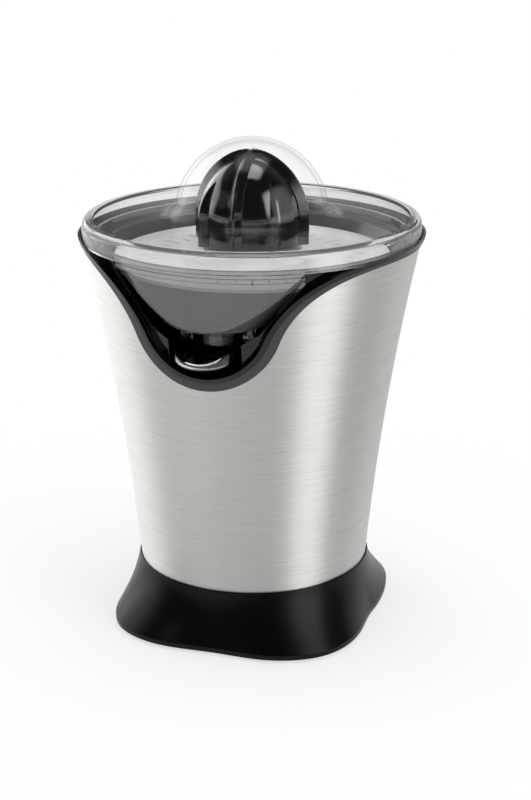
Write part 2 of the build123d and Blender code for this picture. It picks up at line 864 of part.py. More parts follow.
# Spindle with its bushes, seal, washer and return spring
with BuildPart() as drive_spindle:
    with BuildSketch(Plane.XY.offset(spindle_bottom)):
        Circle(spindle_radius)
    extrude(amount=hex_bottom - spindle_bottom)
    with BuildSketch(Plane.XY.offset(hex_bottom)):
        RegularPolygon(hex_size / 2, 6, major_radius=False)
    extrude(amount=hex_length)

with BuildPart() as spindle_bush_upper:
    with BuildSketch(Plane.XY.offset(tower_top - seal_height - bush_length)):
        Circle(bush_radius)
        Circle(spindle_radius + running_fit, mode=Mode.SUBTRACT)
    extrude(amount=bush_length)

with BuildPart() as shaft_seal:
    with BuildSketch(Plane.XY.offset(tower_top - seal_height)):
        Circle(bush_radius)
        Circle(spindle_radius + running_fit, mode=Mode.SUBTRACT)
    extrude(amount=seal_height)

with BuildPart() as spindle_bush_lower:
    with BuildSketch(Plane.XY.offset(plate_bottom - lower_bush_below)):
        Circle(bush_radius)
    extrude(amount=plate_thick + lower_bush_below)
    with BuildSketch(Plane.XY.offset(plate_top)):
        Circle(lower_bush_flange_radius)
    extrude(amount=lower_bush_flange)
    with BuildSketch(Plane.XY.offset(plate_bottom - lower_bush_below)):
        Circle(spindle_radius + running_fit)
    extrude(amount=far, mode=Mode.SUBTRACT)

with BuildPart() as thrust_washer:
    with BuildSketch(Plane.XY.offset(washer_bottom)):
        Circle(washer_radius)
        Circle(spindle_radius + running_fit, mode=Mode.SUBTRACT)
    extrude(amount=washer_thick)

coil_bottom = spring_bottom + spring_wire / 2 + slip
coil_rise = (spring_height - spring_wire - 2 * slip) / spring_half_turns
with BuildPart() as return_spring:
    with BuildLine():
        for half_turn in range(spring_half_turns):
            start_x = spring_radius if half_turn % 2 == 0 else -spring_radius
            level = coil_bottom + half_turn * coil_rise
            ThreePointArc(
                (start_x, 0, level),
                (0, start_x, level + coil_rise / 2),
                (-start_x, 0, level + coil_rise),
            )
    with BuildSketch(Plane(origin=(spring_radius, 0, coil_bottom), x_dir=(1, 0, 0), z_dir=(0, 1, 0))):
        Circle(spring_wire / 2)
    sweep()

# Gears
with BuildPart() as output_gear:
    with BuildSketch(Plane.XY.offset(output_bottom)):
        add(gear_outline(wheel_teeth, 90))
    extrude(amount=output_face)
    with BuildSketch(Plane.XY.offset(hub_bottom)):
        Circle(gear_hub_radius)
    extrude(amount=output_face + gear_hub_below)
    with BuildSketch(Plane.XY.offset(hub_bottom)):
        Circle(spindle_radius + snug)
    extrude(amount=far, mode=Mode.SUBTRACT)

with BuildPart() as idler_gear:
    with BuildSketch(Plane.XY.offset(plate_top + axial_play)):
        with Locations((0, idler_y)):
            Circle(idler_hub_radius)
    extrude(amount=boss_bottom - plate_top - 2 * axial_play)
    with BuildSketch(Plane.XY.offset(pinion_bottom)):
        with Locations((0, idler_y)):
            add(gear_outline(pinion_teeth, 270 + 180 / pinion_teeth))
    extrude(amount=wheel_bottom - pinion_bottom)
    with BuildSketch(Plane.XY.offset(wheel_bottom)):
        with Locations((0, idler_y)):
            add(gear_outline(wheel_teeth, motor_direction))
    extrude(amount=wheel_face)
    with BuildSketch(Plane.XY.offset(plate_top)):
        with Locations((0, idler_y)):
            Circle(axle_radius + running_fit)
    extrude(amount=far, mode=Mode.SUBTRACT)

with BuildPart() as idler_axle:
    with BuildSketch(Plane.XY.offset(plate_bottom)):
        with Locations((0, idler_y)):
            Circle(axle_radius)
    extrude(amount=floor_bottom - plate_bottom)

with BuildPart() as motor_pinion:
    with BuildSketch(Plane.XY.offset(wheel_bottom - mesh_margin / 2)):
        with Locations((motor_x, motor_y)):
            add(gear_outline(pinion_teeth, motor_direction - 180 + 180 / pinion_teeth))
            Circle(motor_shaft_radius + snug, mode=Mode.SUBTRACT)
    extrude(amount=wheel_face + mesh_margin)

# Plate that carries the gears, the motor and the switch
with BuildPart() as gear_plate:
    with BuildSketch(Plane.XY.offset(plate_bottom)):
        Circle(plate_radius)
        Circle(bush_radius + snug, mode=Mode.SUBTRACT)
        with Locations((0, idler_y)):
            Circle(axle_radius + snug, mode=Mode.SUBTRACT)
        with Locations((motor_x, motor_y)):
            Circle(motor_bush_radius, mode=Mode.SUBTRACT)
        with PolarLocations(post_circle, 4, start_angle=post_start):
            Circle(rod_radius + slip, mode=Mode.SUBTRACT)
    extrude(amount=plate_thick)
    with BuildSketch(motor_frame(bracket_top_z)):
        with Locations((-motor_bolt_offset, 0), (motor_bolt_offset, 0)):
            Circle(motor_post_radius)
    extrude(amount=motor_drop)
    with BuildSketch(motor_frame(bracket_top_z)):
        with Locations((-motor_bolt_offset, 0), (motor_bolt_offset, 0)):
            Circle(motor_bolt_radius + slip)
    extrude(amount=motor_drop / 2 + 2, mode=Mode.SUBTRACT)
    with BuildSketch(Plane.XY.offset(switch_bottom)):
        with Locations((0, switch_width / 2 + seat_gap + hanger_thick / 2)):
            Rectangle(2 * hanger_half_width, hanger_thick)
    extrude(amount=plate_bottom - switch_bottom)
    with BuildSketch(Plane.XY.offset(switch_top)):
        Circle(bush_radius + gear_clearance)
    extrude(amount=plate_bottom - switch_top, mode=Mode.SUBTRACT)
    with BuildSketch(Plane.XZ.offset(-switch_width / 2 - seat_gap - hanger_thick / 2)):
        with Locations(
            (-switch_peg_offset, (switch_bottom + switch_top) / 2),
            (switch_peg_offset, (switch_bottom + switch_top) / 2),
        ):
            Circle(switch_peg)
    extrude(amount=switch_width + hanger_thick / 2)

# Motor
with BuildPart() as motor_stack:
    with BuildSketch(motor_frame(stack_bottom)):
        with Locations((0, (stack_back - stack_front) / 2)):
            Rectangle(2 * stack_half_width, stack_front + stack_back)
        with Locations((0, (stack_front + stack_back - stack_bar) / 2)):
            Rectangle(2 * stack_window_half, stack_back - stack_bar - stack_front, mode=Mode.SUBTRACT)
        Circle(stack_bore, mode=Mode.SUBTRACT)
        with Locations((-motor_bolt_offset, 0), (motor_bolt_offset, 0)):
            Circle(motor_bolt_radius + slip, mode=Mode.SUBTRACT)
    extrude(amount=stack_height)

coil_middle = stack_back - stack_bar / 2
coil_length = 2 * (stack_window_half - 2 * coil_gap)
with BuildPart() as motor_coil:
    with BuildSketch(motor_frame(stack_bottom - coil_build - coil_gap)):
        with Locations((0, coil_middle)):
            Rectangle(coil_length, stack_bar + 2 * (coil_build + coil_gap))
    extrude(amount=stack_height + 2 * (coil_build + coil_gap))
    fillet(motor_coil.edges().filter_by(Axis.Y), coil_build / 2)
    with BuildSketch(
        Plane(
            origin=(motor_x - coil_middle, motor_y - coil_length, stack_bottom + stack_height / 2),
            x_dir=(1, 0, 0),
            z_dir=(0, 1, 0),
        )
    ):
        Rectangle(stack_bar + 2 * coil_gap, stack_height + 2 * coil_gap)
    extrude(amount=2 * coil_length, mode=Mode.SUBTRACT)

inner_leg = bracket_leg - bracket_sheet
bracket_line = [
    (-stack_half_width, 0),
    (-inner_leg, 0),
    (-inner_leg, bracket_rise - bracket_sheet),
    (inner_leg, bracket_rise - bracket_sheet),
    (inner_leg, 0),
    (stack_half_width, 0),
    (stack_half_width, bracket_sheet),
    (bracket_leg, bracket_sheet),
    (bracket_leg, bracket_rise),
    (-bracket_leg, bracket_rise),
    (-bracket_leg, bracket_sheet),
    (-stack_half_width, bracket_sheet),
]

with BuildPart() as motor_bracket_upper:
    with BuildSketch(motor_side(stack_top)):
        with BuildLine():
            Polyline(*bracket_line, close=True)
        make_face()
    extrude(amount=2 * bracket_half_width)
    with BuildSketch(motor_frame(stack_top)):
        Circle(motor_bush_radius + snug)
        with Locations((-motor_bolt_offset, 0), (motor_bolt_offset, 0)):
            Circle(motor_bolt_radius + slip)
    extrude(amount=2 * bracket_rise, mode=Mode.SUBTRACT)

with BuildPart() as motor_bracket_lower:
    with BuildSketch(motor_side(stack_bottom)):
        with BuildLine():
            Polyline(*[(x, -z) for x, z in bracket_line], close=True)
        make_face()
    extrude(amount=2 * bracket_half_width)
    with BuildSketch(motor_frame(stack_bottom)):
        Circle(motor_bush_radius + snug)
        with Locations((-motor_bolt_offset, 0), (motor_bolt_offset, 0)):
            Circle(motor_bolt_radius + slip)
    extrude(amount=-2 * bracket_rise, mode=Mode.SUBTRACT)

upper_bush_z = stack_top + bracket_rise - bracket_sheet / 2 - motor_bush_length / 2
lower_bush_z = stack_bottom - bracket_rise + bracket_sheet / 2 - motor_bush_length / 2
with BuildPart() as motor_bushes:
    with BuildSketch(motor_frame(upper_bush_z), motor_frame(lower_bush_z)):
        Circle(motor_bush_radius)
        Circle(motor_shaft_radius + running_fit, mode=Mode.SUBTRACT)
    extrude(amount=motor_bush_length)

with BuildPart() as motor_bolts:
    with BuildSketch(motor_frame(stack_bottom - bracket_sheet)):
        with Locations((-motor_bolt_offset, 0), (motor_bolt_offset, 0)):
            Circle(motor_bolt_radius)
    extrude(amount=stack_height + 2 * bracket_sheet + motor_drop / 2)
    with BuildSketch(motor_frame(stack_bottom - bracket_sheet)):
        with Locations((-motor_bolt_offset, 0), (motor_bolt_offset, 0)):
            Circle(1.8 * motor_bolt_radius)
    extrude(amount=-1.5 * motor_bolt_radius)

with BuildPart() as motor_rotor:
    with BuildSketch(motor_frame(stack_bottom)):
        Circle(rotor_radius)
    extrude(amount=stack_height)
    with BuildSketch(motor_frame(stack_bottom - rotor_ring)):
        Circle(rotor_ring_radius)
    extrude(amount=stack_height + 2 * rotor_ring)
    with BuildSketch(motor_frame(stack_bottom - rotor_ring)):
        Circle(motor_shaft_radius + snug)
    extrude(amount=far, mode=Mode.SUBTRACT)

with BuildPart() as motor_shaft:
    with BuildSketch(motor_frame(lower_bush_z - motor_shaft_radius)):
        Circle(motor_shaft_radius)
    extrude(amount=wheel_top + mesh_margin - lower_bush_z + motor_shaft_radius)

# Switch under the spindle
with BuildPart() as switch_body:
    with BuildSketch(Plane.XY.offset(switch_bottom)):
        Rectangle(switch_length, switch_width)
    extrude(amount=switch_height)
    with BuildSketch(Plane.XY.offset(switch_bottom)):
        with GridLocations(switch_length / 3, 1, 3, 1):
            Rectangle(2 * switch_peg, switch_peg)
    extrude(amount=-switch_height / 3)
    with BuildSketch(Plane.XY.offset(switch_top)):
        Circle(plunger_radius + slip)
    extrude(amount=-(plunger_length - plunger_show + press_travel + axial_play), mode=Mode.SUBTRACT)
    with BuildSketch(Plane.XZ.offset(-switch_width)):
        with Locations(
            (-switch_peg_offset, (switch_bottom + switch_top) / 2),
            (switch_peg_offset, (switch_bottom + switch_top) / 2),
        ):
            Circle(switch_peg + slip)
    extrude(amount=2 * switch_width, mode=Mode.SUBTRACT)

with BuildPart() as switch_plunger:
    with BuildSketch(Plane.XY.offset(plunger_top)):
        Circle(plunger_radius)
    extrude(amount=-plunger_length)


def oblong(angle):
    """Distance from the middle to the base's lower outline in a direction."""
    across = abs(cos(angle))
    along = abs(sin(angle))
    middle_x = base_half_width - base_corner
    middle_y = base_half_depth - base_corner
    if along * base_half_width <= middle_y * across:
        return base_half_width / across
    if across * base_half_depth <= middle_x * along:
        return base_half_depth / along
    reach = across * middle_x + along * middle_y
    return reach + sqrt(reach**2 - middle_x**2 - middle_y**2 + base_corner**2)


def base_outline(z, inset_by):
    """Outline of the flared base at a height: a circle at the top, a rounded oblong at the bottom."""
    spread = ((base_top - z) / (base_top - base_rim_top)) ** base_flare
    with BuildSketch() as outline:
        with BuildLine():
            angles = [step * 2 * pi / base_outline_points for step in range(base_outline_points)]
            radii = [base_top_radius + (oblong(angle) - base_top_radius) * spread - inset_by for angle in angles]
            Spline(*[(r * cos(a), r * sin(a)) for r, a in zip(radii, angles)], periodic=True)
        make_face()
    return outline.sketch


def base_body(inset_by, bottom, top):
    """Solid inside the base's flare, between two heights."""
    with BuildPart() as body:
        for share in (0, 0.3, 0.65, 1):
            level = base_rim_top + (top - base_rim_top) * share
            with BuildSketch(Plane.XY.offset(level)):
                add(base_outline(level, inset_by))
        loft()
        with BuildSketch(Plane.XY.offset(bottom)):
            add(base_outline(base_rim_top, inset_by))
        extrude(amount=base_rim_top - bottom)
    return body.part


# Base
gland_face = base_half_depth + gland_boss_proud
with BuildPart() as base_shell:
    add(base_body(0, foot_height, base_top))
    add(base_body(base_wall, 0, deck_bottom), mode=Mode.SUBTRACT)
    with BuildSketch(Plane.XY.offset(deck_top)):
        Circle(flare(base_top) + slip)
    extrude(amount=base_top, mode=Mode.SUBTRACT)
    with BuildSketch(Plane.XY.offset(deck_bottom)):
        Circle(deck_opening)
        with PolarLocations(post_circle, 4, start_angle=post_start):
            Circle(rod_radius + slip)
    extrude(amount=2 * deck_thick, mode=Mode.SUBTRACT)
    with BuildSketch(Plane.XY.offset(plate_rest)):
        with GridLocations(2 * base_screw_x, 2 * base_screw_y, 2, 2):
            Circle(boss_radius)
    extrude(amount=deck_bottom + deck_thick / 2 - plate_rest)
    with BuildSketch(Plane.XY.offset(plate_rest)):
        with GridLocations(2 * base_screw_x, 2 * base_screw_y, 2, 2):
            Circle(base_screw_radius + slip)
    extrude(amount=base_screw_length, mode=Mode.SUBTRACT)
    with BuildSketch(Plane.XZ.offset(-gland_face)):
        with Locations((0, gland_height)):
            Circle(gland_boss_radius)
    extrude(amount=gland_length - gland_flange)
    with BuildSketch(Plane.XZ.offset(-gland_face)):
        with Locations((0, gland_height)):
            Circle(gland_barrel + slip)
    extrude(amount=2 * gland_length, mode=Mode.SUBTRACT)

with BuildPart() as cord_gland:
    with BuildSketch(Plane.XZ.offset(-gland_face)):
        with Locations((0, gland_height)):
            Circle(gland_barrel)
    extrude(amount=gland_length)
    with BuildSketch(Plane.XZ.offset(-gland_face)):
        with Locations((0, gland_height)):
            Circle(gland_flange_radius)
    extrude(amount=-gland_flange)
    with BuildSketch(Plane.XZ.offset(-gland_face - gland_flange)):
        with Locations((0, gland_height)):
            Circle(cord_bore)
    extrude(amount=2 * gland_length, mode=Mode.SUBTRACT)

with BuildPart() as base_plate:
    with BuildSketch(Plane.XY.offset(foot_height)):
        add(base_outline(base_rim_top, base_wall + base_plate_gap))
        with GridLocations(2 * base_screw_x, 2 * base_screw_y, 2, 2):
            Circle(base_screw_radius + slip, mode=Mode.SUBTRACT)
        with GridLocations(2 * foot_x, 2 * foot_y, 2, 2):
            Circle(foot_stud + snug, mode=Mode.SUBTRACT)
    extrude(amount=base_plate_thick)
    with BuildSketch(Plane.XY.offset(foot_height)):
        with GridLocations(2 * base_screw_x, 2 * base_screw_y, 2, 2):
            Circle(base_screw_head + slip)
    extrude(amount=base_screw_head_height, mode=Mode.SUBTRACT)

with BuildPart() as base_screws:
    with BuildSketch(Plane.XY.offset(foot_height)):
        with GridLocations(2 * base_screw_x, 2 * base_screw_y, 2, 2):
            Circle(base_screw_head)
    extrude(amount=base_screw_head_height)
    with BuildSketch(Plane.XY.offset(foot_height)):
        with GridLocations(2 * base_screw_x, 2 * base_screw_y, 2, 2):
            Circle(base_screw_radius)
    extrude(amount=base_screw_length)

with BuildPart() as rubber_feet:
    with BuildSketch(Plane.XY):
        with GridLocations(2 * foot_x, 2 * foot_y, 2, 2):
            Circle(foot_radius)
    extrude(amount=foot_height)
    with BuildSketch(Plane.XY.offset(foot_height)):
        with GridLocations(2 * foot_x, 2 * foot_y, 2, 2):
            Circle(foot_stud)
    extrude(amount=base_plate_thick)

# Rods that clamp the base, the steel body and the inner housing together
with BuildPart() as tie_rods:
    with BuildSketch(Plane.XY.offset(deck_bottom)):
        with PolarLocations(post_circle, 4, start_angle=post_start):
            Circle(rod_radius)
    extrude(amount=plate_top + rod_grip - deck_bottom)
    with BuildSketch(Plane.XY.offset(deck_bottom), Plane.XY.offset(plate_bottom)):
        with PolarLocations(post_circle, 4, start_angle=post_start):
            Circle(rod_head)
    extrude(amount=-rod_head_height)

pieces = {
    "dust_cover": dust_cover,
    "reamer": reamer,
    "reamer_clip": reamer_clip,
    "strainer": strainer,
    "juice_bowl": juice_bowl,
    "outlet_seal": outlet_seal,
    "spout": spout,
    "spout_pins": spout_pins,
    "steel_shell": steel_shell,
    "rim_trim": rim_trim,
    "inner_housing": inner_housing,
    "drive_spindle": drive_spindle,
    "spindle_bush_upper": spindle_bush_upper,
    "spindle_bush_lower": spindle_bush_lower,
    "shaft_seal": shaft_seal,
    "thrust_washer": thrust_washer,
    "return_spring": return_spring,
    "output_gear": output_gear,
    "idler_gear": idler_gear,
    "idler_axle": idler_axle,
    "motor_pinion": motor_pinion,
    "gear_plate": gear_plate,
    "motor_stack": motor_stack,
    "motor_coil": motor_coil,
    "motor_bracket_upper": motor_bracket_upper,
    "motor_bracket_lower": motor_bracket_lower,
    "motor_bushes": motor_bushes,
    "motor_bolts": motor_bolts,
    "motor_rotor": motor_rotor,
    "motor_shaft": motor_shaft,
    "switch_body": switch_body,
    "switch_plunger": switch_plunger,
    "base_shell": base_shell,
    "cord_gland": cord_gland,
    "base_plate": base_plate,
    "base_screws": base_screws,
    "rubber_feet": rubber_feet,
    "tie_rods": tie_rods,
}
for name, piece in pieces.items():
    piece.part.label = name
    export_step(piece.part, f"parts/{name}.step")
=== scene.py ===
"""Citrus press juicer: finishes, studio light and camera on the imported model."""

import json
from math import cos, pi, radians, sin

import bmesh
import bpy
from mathutils import Matrix, Vector

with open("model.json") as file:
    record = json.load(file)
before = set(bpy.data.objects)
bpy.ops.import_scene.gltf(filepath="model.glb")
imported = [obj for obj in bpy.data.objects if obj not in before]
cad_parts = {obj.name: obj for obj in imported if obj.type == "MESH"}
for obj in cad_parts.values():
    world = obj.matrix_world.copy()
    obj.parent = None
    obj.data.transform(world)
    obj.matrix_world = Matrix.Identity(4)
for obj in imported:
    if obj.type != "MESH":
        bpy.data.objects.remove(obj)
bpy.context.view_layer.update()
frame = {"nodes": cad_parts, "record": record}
nodes = frame["nodes"]


class Value:
    """A shader socket that takes part in plain arithmetic."""

    def __init__(self, finish, socket):
        self.finish = finish
        self.socket = socket

    def maths(self, operation, *values):
        return self.finish.node("ShaderNodeMath", {"operation": operation}, dict(enumerate(values)))

    def __add__(self, other):
        return self.maths("ADD", self, other)

    def __rsub__(self, other):
        return self.maths("SUBTRACT", other, self)

    def __mul__(self, other):
        return self.maths("MULTIPLY", self, other)

    def __pow__(self, exponent):
        return self.maths("POWER", self, exponent)

    def larger(self, other):
        return self.maths("MAXIMUM", self, other)

    def wave(self):
        return self.maths("SINE", self)

    def ramp(self, low, high, start=0.0, end=1.0):
        """Runs smoothly from start to end while this value goes from low to high."""
        settings = {"interpolation_type": "SMOOTHSTEP"}
        sockets = {0: self, 1: low, 2: high, 3: start, 4: end}
        return self.finish.node("ShaderNodeMapRange", settings, sockets)

    __radd__ = __add__
    __rmul__ = __mul__


class Finish:
    """The node tree of one material, lamp or room."""

    def __init__(self, name, owner=None):
        self.owner = owner or bpy.data.materials.new(name)
        self.owner.use_nodes = True
        self.tree = self.owner.node_tree
        self.tree.nodes.clear()

    def node(self, kind, settings=None, sockets=None, output=0):
        node = self.tree.nodes.new(kind)
        for key, value in (settings or {}).items():
            setattr(node, key, value)
        for key, value in (sockets or {}).items():
            if isinstance(value, Value):
                self.tree.links.new(value.socket, node.inputs[key])
            else:
                node.inputs[key].default_value = value
        return Value(self, node.outputs[output]) if node.outputs else None

    def place(self, scale=(1, 1, 1)):
        """Position on the piece, in metres, stretched for a pattern."""
        where = self.node("ShaderNodeTexCoord", output="Object")
        return self.node("ShaderNodeMapping", {}, {"Vector": where, "Scale": scale})

    def noise(self, scale, detail=2.0, rough=0.5, stretch=(1, 1, 1)):
        sockets = {"Vector": self.place(stretch), "Scale": scale, "Detail": detail, "Roughness": rough}
        return self.node("ShaderNodeTexNoise", {}, sockets)

    def along(self, axis):
        return self.node("ShaderNodeSeparateXYZ", {}, {0: self.place()}, "XYZ".index(axis))

    def length(self, vector):
        return self.node("ShaderNodeVectorMath", {"operation": "LENGTH"}, {0: vector}, "Value")

    def from_axis(self):
        return self.length(self.place((1, 1, 0)))

    def towards(self, vector, direction):
        """How far a vector reaches in one direction."""
        sockets = {0: vector, 1: tuple(direction)}
        return self.node("ShaderNodeVectorMath", {"operation": "DOT_PRODUCT"}, sockets, "Value")

    def ray(self, kind):
        """1 for rays of this kind and 0 for others."""
        return self.node("ShaderNodeLightPath", output=f"Is {kind} Ray")

    def passing(self, tint):
        """A shader that is seen straight through, darkened by its tint."""
        return self.node("ShaderNodeBsdfTransparent", {}, {0: (tint, tint, tint, 1)})

    def blend(self, share, first, second):
        return self.node("ShaderNodeMixShader", {}, {0: share, 1: first, 2: second})

    def mix(self, share, first, second):
        sockets = {0: share, 6: (*first, 1), 7: (*second, 1)}
        return self.node("ShaderNodeMix", {"data_type": "RGBA"}, sockets, 2)

    def rounded(self, radius):
        return self.node("ShaderNodeBevel", {"samples": 6}, {"Radius": radius})

    def relief(self, height, depth, strength, normal=None):
        sockets = {"Height": height, "Distance": depth, "Strength": strength}
        if normal:
            sockets["Normal"] = normal
        return self.node("ShaderNodeBump", {}, sockets)

    def surface(self, **sockets):
        named = {key.replace("_", " "): value for key, value in sockets.items()}
        return self.node("ShaderNodeBsdfPrincipled", {}, named)

    def light_through(self, shader, share):
        """Lets lamp light and soft bounced light pass straight through a clear piece."""
        lighting = self.ray("Shadow").larger(self.ray("Diffuse"))
        return self.blend(lighting, shader, self.passing(share))

    def done(self, shader, kind="Material"):
        self.node("ShaderNodeOutput" + kind, {}, {"Surface": shader})
        return self.owner


# Distances from the axis at which a finish changes, in metres
cone_reach = 0.040
cover_bend = 0.096

# Waves up the height of a piece, in radians per metre
sheet_wave = 12566.0
tape_wave = 1400.0


def brushed_steel():
    f = Finish("brushed_steel")
    fine = f.noise(1.0, 3.0, 0.6, (60, 60, 2100))
    broad = f.noise(1.0, 2.0, 0.5, (16, 16, 800))
    streak = (fine * 0.65 + broad * 0.35).ramp(0.3, 0.7)
    return f.done(f.surface(
        Base_Color=f.mix(streak, (0.69, 0.682, 0.662), (0.83, 0.822, 0.80)),
        Metallic=1.0,
        Roughness=streak * 0.05 + 0.425,
        Anisotropic=0.92,
        Anisotropic_Rotation=0.25,
        Normal=f.relief(fine, 0.00003, 0.1),
    ))


def matte_band():
    f = Finish("matte_band")
    grain = f.noise(2600)
    cloud = f.noise(60)
    return f.done(f.surface(
        Base_Color=f.mix(cloud, (0.030, 0.030, 0.031), (0.040, 0.040, 0.041)),
        Roughness=grain * 0.12 + 0.46,
        Normal=f.relief(grain, 0.00004, 0.5, f.rounded(0.0006)),
    ))


def black_gloss():
    """Black gloss moulding, with a harder shine near the axis, where the cone stands."""
    f = Finish("polished_black")
    flow = f.noise(35)
    specks = f.noise(900)
    return f.done(f.surface(
        Base_Color=f.mix(flow, (0.0008, 0.0008, 0.0009), (0.0016, 0.0016, 0.0017)),
        Roughness=flow * 0.05 + specks * 0.03 + 0.07,
        Coat_Weight=f.from_axis().ramp(cone_reach, cone_reach + 0.002, 1.0, 0.0),
        Coat_IOR=1.65,
        Coat_Roughness=0.05,
        Normal=f.relief(flow, 0.0002, 0.15, f.rounded(0.0005)),
    ))


def black_satin():
    f = Finish("black_satin")
    grain = f.noise(1800)
    flow = f.noise(22)
    return f.done(f.surface(
        Base_Color=f.mix(flow, (0.0008, 0.0008, 0.0009), (0.0016, 0.0016, 0.0017)),
        Roughness=grain * 0.06 + flow * 0.06 + 0.24,
        Specular_IOR_Level=0.2,
        Normal=f.relief(grain, 0.00002, 0.4, f.rounded(0.0008)),
    ))


def white_moulding():
    f = Finish("white_moulding")
    flow = f.noise(40, 3.0)
    grain = f.noise(1500)
    return f.done(f.surface(
        Base_Color=f.mix(flow, (0.80, 0.80, 0.785), (0.86, 0.86, 0.85)),
        Roughness=grain * 0.1 + 0.28,
        Normal=f.relief(grain, 0.00002, 0.4, f.rounded(0.0004)),
    ))


def clear_solid(f, flow, ripple):
    return f.surface(
        Base_Color=f.mix(flow, (0.95, 0.955, 0.95), (0.93, 0.935, 0.935)),
        Roughness=f.noise(700) * 0.02,
        IOR=1.49,
        Transmission_Weight=1.0,
        Normal=ripple,
    )


def clear_cover():
    """Thin clear sheet that is seen straight through, mirrors at a glance and bends the view at its edge."""
    f = Finish("clear_cover_sheet")
    flow = f.noise(18)
    ripple = f.relief(flow, 0.0003, 0.08)
    facing = f.node("ShaderNodeLayerWeight", {}, {"Blend": 0.5, "Normal": ripple}, "Facing")
    mirror = f.node("ShaderNodeBsdfGlossy", {}, {
        "Color": (1, 1, 1, 1),
        "Roughness": f.noise(700) * 0.02,
        "Normal": ripple,
    })
    through = f.blend(facing ** 14, f.passing(0.99), f.passing(0.5))
    sheet = f.blend(facing ** 5 * 0.34 + 0.012, through, mirror)
    bent = f.from_axis().ramp(cover_bend, cover_bend + 0.0002)
    return f.done(f.light_through(f.blend(bent, sheet, clear_solid(f, flow, ripple)), 0.98))


def clear_spout():
    f = Finish("clear_spout_plastic")
    flow = f.noise(18)
    return f.done(f.light_through(clear_solid(f, flow, f.relief(flow, 0.0003, 0.08)), 0.9))


def smoky_plastic():
    f = Finish("smoky_plastic")
    flow = f.noise(25, 3.0)
    specks = f.noise(600)
    shader = f.surface(
        Base_Color=f.mix(flow, (0.36, 0.356, 0.356), (0.46, 0.455, 0.455)),
        Roughness=specks * 0.03 + 0.02,
        IOR=1.6,
        Transmission_Weight=0.86,
        Normal=f.relief(flow, 0.0004, 0.25),
    )
    return f.done(f.light_through(shader, 0.7))


def soft_rubber():
    f = Finish("soft_rubber")
    grain = f.noise(2200, 3.0, 0.6)
    return f.done(f.surface(
        Base_Color=f.mix(grain, (0.008, 0.008, 0.008), (0.018, 0.018, 0.018)),
        Roughness=grain * 0.15 + 0.55,
        Normal=f.relief(grain, 0.00006, 0.5),
    ))


def filled_plastic():
    f = Finish("filled_plastic")
    grain = f.noise(1400, 3.0)
    flow = f.noise(30)
    return f.done(f.surface(
        Base_Color=f.mix(flow, (0.014, 0.014, 0.015), (0.026, 0.026, 0.027)),
        Roughness=grain * 0.12 + 0.42,
        Normal=f.relief(grain, 0.00005, 0.5, f.rounded(0.0004)),
    ))


def gear_nylon():
    f = Finish("gear_nylon")
    flow = f.noise(45, 3.0)
    return f.done(f.surface(
        Base_Color=f.mix(flow, (0.62, 0.59, 0.50), (0.72, 0.69, 0.60)),
        Roughness=flow * 0.12 + 0.34,
        Normal=f.relief(f.noise(1100), 0.00003, 0.4, f.rounded(0.0002)),
    ))


def turned_metal(name, dark, light, rough):
    f = Finish(name)
    rings = f.noise(1.0, 3.0, 0.6, (60, 60, 2600))
    stain = f.noise(70, 3.0)
    return f.done(f.surface(
        Base_Color=f.mix(stain, dark, light),
        Metallic=1.0,
        Roughness=rings * 0.12 + stain * 0.08 + rough,
        Normal=f.relief(rings, 0.00002, 0.4, f.rounded(0.0002)),
    ))


def stacked_sheets():
    f = Finish("stacked_sheets")
    sheet = (f.along("Z") * sheet_wave).wave()
    stain = f.noise(120, 3.0)
    return f.done(f.surface(
        Base_Color=f.mix(stain, (0.20, 0.20, 0.21), (0.34, 0.33, 0.32)),
        Metallic=0.9,
        Roughness=stain * 0.15 + 0.38,
        Normal=f.relief(sheet, 0.00005, 0.6),
    ))


def winding_tape():
    f = Finish("winding_tape")
    crease = f.noise(160, 4.0, 0.6)
    lap = (f.along("Z") * tape_wave).wave()
    return f.done(f.surface(
        Base_Color=f.mix(crease, (0.40, 0.24, 0.045), (0.55, 0.36, 0.09)),
        Roughness=crease * 0.2 + 0.3,
        Normal=f.relief(crease + lap * 0.2, 0.0003, 0.5),
    ))


finishes = {
    "brushed_body": brushed_steel(),
    "matte_trim": matte_band(),
    "black_gloss": black_gloss(),
    "black_base": black_satin(),
    "white_plastic": white_moulding(),
    "clear_cover": clear_cover(),
    "clear_spout": clear_spout(),
    "smoky_bowl": smoky_plastic(),
    "black_rubber": soft_rubber(),
    "dark_plastic": filled_plastic(),
    "gear_plastic": gear_nylon(),
    "spring_steel": turned_metal("ground_steel", (0.46, 0.46, 0.47), (0.60, 0.60, 0.60), 0.22),
    "bronze": turned_metal("sintered_bronze", (0.42, 0.26, 0.10), (0.56, 0.37, 0.16), 0.30),
    "lamination": stacked_sheets(),
    "coil_tape": winding_tape(),
}

# Each piece takes the finish of its slot
for piece in frame["record"]["subparts"]:
    mesh = nodes[piece["node"]].data
    mesh.materials.clear()
    mesh.materials.append(finishes[piece["material_slot"]])

# Camera, 18 degrees to the right of the spout and about 23 cm above the rim, with its angles in radians
camera_turn = radians(18)
camera_distance, camera_height = 0.975, 0.4737
camera_down, camera_yaw, camera_roll = 0.3324, 0.0081, -0.0034
focal_pixels, picture_pixels = 1637, 800
across = Vector((cos(camera_turn), sin(camera_turn), 0))
away = Vector((-sin(camera_turn), cos(camera_turn), 0))
up = Vector((0, 0, 1))
look = (across * sin(camera_yaw) + away * cos(camera_yaw)) * cos(camera_down) - up * sin(camera_down)
right = across * cos(camera_yaw) - away * sin(camera_yaw)
over = right.cross(look)
side = right * cos(camera_roll) + over * sin(camera_roll)
top = over * cos(camera_roll) - right * sin(camera_roll)
spot = up * camera_height - away * camera_distance
lens = bpy.data.cameras.new("camera")
lens.sensor_fit = "VERTICAL"
lens.sensor_height = 36.0
lens.lens = lens.sensor_height * focal_pixels / picture_pixels
lens.clip_end = 100
